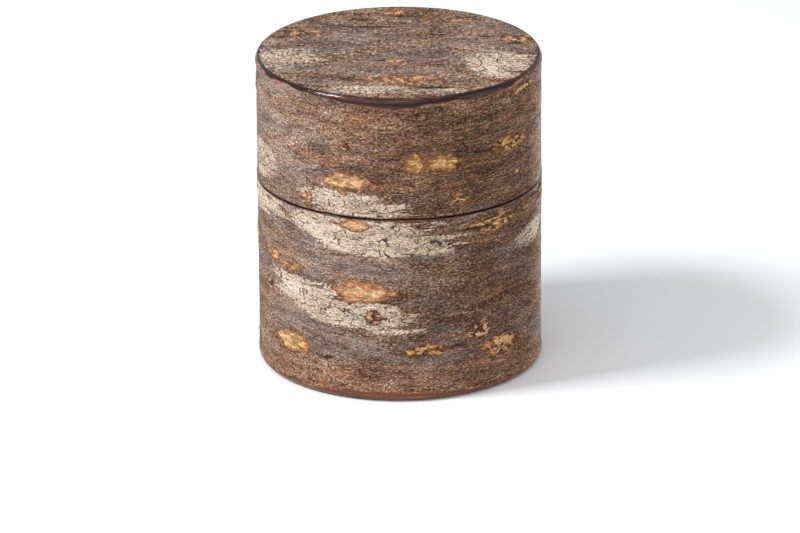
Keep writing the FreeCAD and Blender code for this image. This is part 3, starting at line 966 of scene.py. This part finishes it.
# One tube was wrapped and then sawn in two, so that the same marks run on from the body to the lid.
back_marks = scatter(BACK_COUNT, BACK_SPAN, BACK_MARKS_SEED)
wall_marks = tuple(on_sheet(front + back) for front, back in zip(WALL_MARKS, back_marks))
base_marks = scatter(BASE_COUNT, BASE_SPAN, BASE_MARKS_SEED)

rough_bark = rough_bark_material()
body_bark = wall_piece("body_bark_wrap", 0.0, SEAM, True, wall_marks, WALL_SEED)
lid_bark = wall_piece("lid_bark_wrap", MOUTH, HEIGHT, False, wall_marks, WALL_SEED)
top_bark = disc_piece("lid_top_inlay", True, TOP_MARKS, TOP_SEED)
base_bark = disc_piece("base_inlay", False, base_marks, BASE_SEED, BASE_WEAR)
for piece, body, node in (
    (body_bark, "container", "body_outer_bark"),
    (base_bark, "container", "base_bark"),
    (lid_bark, "lid", "lid_outer_bark"),
    (top_bark, "lid", "lid_top_bark"),
):
    piece.data.materials.append(rough_bark)
    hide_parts(node)
    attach(piece, body)

# The finish of each material slot. The nodes in slot rough_bark are replaced above.
FINISHES = {
    "polished_bark": polished_bark_material(),
    "veneer": wood_material("veneer", rgb(196, 156, 112), rgb(160, 116, 76), rgb(112, 76, 46)),
    "board": wood_material("board", rgb(206, 172, 128), rgb(174, 136, 94), rgb(126, 92, 58)),
    "knob": laminated_bark_material(),
    "dowel": wood_material("dowel_wood", rgb(202, 168, 124), rgb(172, 132, 90), rgb(124, 90, 56)),
}
for entry in frame["record"]["subparts"]:
    finish = FINISHES.get(entry["material_slot"])
    if finish:
        part = frame["nodes"][entry["node"]]
        part.data.materials.clear()
        part.data.materials.append(finish)


# ---------------------------------------------------------------------------------------------------------
# studio, in metres

MIDDLE = (0, 0, HEIGHT * MM / 2)
# Name, place, width and height, watts, colour. Each is aimed at the caddy's middle.
LIGHTS = [
    ("key", (-0.82, -0.26, 0.98), (0.29, 0.29), 13.0, (0.97, 0.97, 1.0)),
    ("front", (-0.45, -1.50, 0.95), (2.2, 1.7), 11.0, (1.0, 1.0, 1.0)),
    ("fill", (1.20, -0.60, 0.50), (0.8, 0.8), 2.5, (0.94, 0.97, 1.0)),
]
FLOOR_HALF = 6.0
SKY_COLOUR = (0.95, 0.97, 1.0, 1)
SKY_STRENGTH = 0.66

CAMERA_ELEVATION = 20.4
CAMERA_DISTANCE = 1.62
CAMERA_LENS = 289.0
CAMERA_SENSOR = 36.0
CAMERA_CLIP = (0.1, 30.0)
# How far below the caddy's middle the camera is aimed, and how far it leans.
CAMERA_DROP = 0.584
CAMERA_ROLL = 0.39


def area_light(name, place, size, power, colour):
    data = bpy.data.lights.new(name, "AREA")
    data.shape = "RECTANGLE"
    data.size, data.size_y = size
    data.energy = power
    data.color = colour
    lamp = bpy.data.objects.new(name, data)
    lamp.location = place
    lamp.rotation_euler = (Vector(MIDDLE) - Vector(place)).to_track_quat("-Z", "Y").to_euler()
    bpy.context.scene.collection.objects.link(lamp)


def make_floor():
    corners = [(x * FLOOR_HALF, y * FLOOR_HALF, 0) for x, y in ((-1, -1), (1, -1), (1, 1), (-1, 1))]
    mesh = bpy.data.meshes.new("studio_floor")
    mesh.from_pydata(corners, [], [(0, 1, 2, 3)])
    floor = bpy.data.objects.new("studio_floor", mesh)
    bpy.context.scene.collection.objects.link(floor)
    floor.data.materials.append(floor_material())


def make_world():
    world = bpy.data.worlds.new("studio")
    world.use_nodes = True
    background = world.node_tree.nodes["Background"]
    background.inputs["Color"].default_value = SKY_COLOUR
    background.inputs["Strength"].default_value = SKY_STRENGTH
    bpy.context.scene.world = world


def make_camera():
    """Telephoto view of the front, from a little above."""
    data = bpy.data.cameras.new("camera")
    data.lens = CAMERA_LENS
    data.sensor_width = CAMERA_SENSOR
    data.clip_start, data.clip_end = CAMERA_CLIP
    camera = bpy.data.objects.new("camera", data)
    elevation = math.radians(CAMERA_ELEVATION)
    back = Vector((0, -math.cos(elevation), math.sin(elevation)))
    camera.location = Vector(MIDDLE) + back * CAMERA_DISTANCE
    tilt = Matrix.Rotation(math.radians(90 - CAMERA_ELEVATION - CAMERA_DROP), 4, "X")
    roll = Matrix.Rotation(math.radians(-CAMERA_ROLL), 4, "Z")
    camera.rotation_euler = (tilt @ roll).to_euler()
    bpy.context.scene.collection.objects.link(camera)
    bpy.context.scene.camera = camera


for light in LIGHTS:
    area_light(*light)
make_floor()
make_world()
make_camera()
bpy.context.scene.view_settings.view_transform = "Standard"
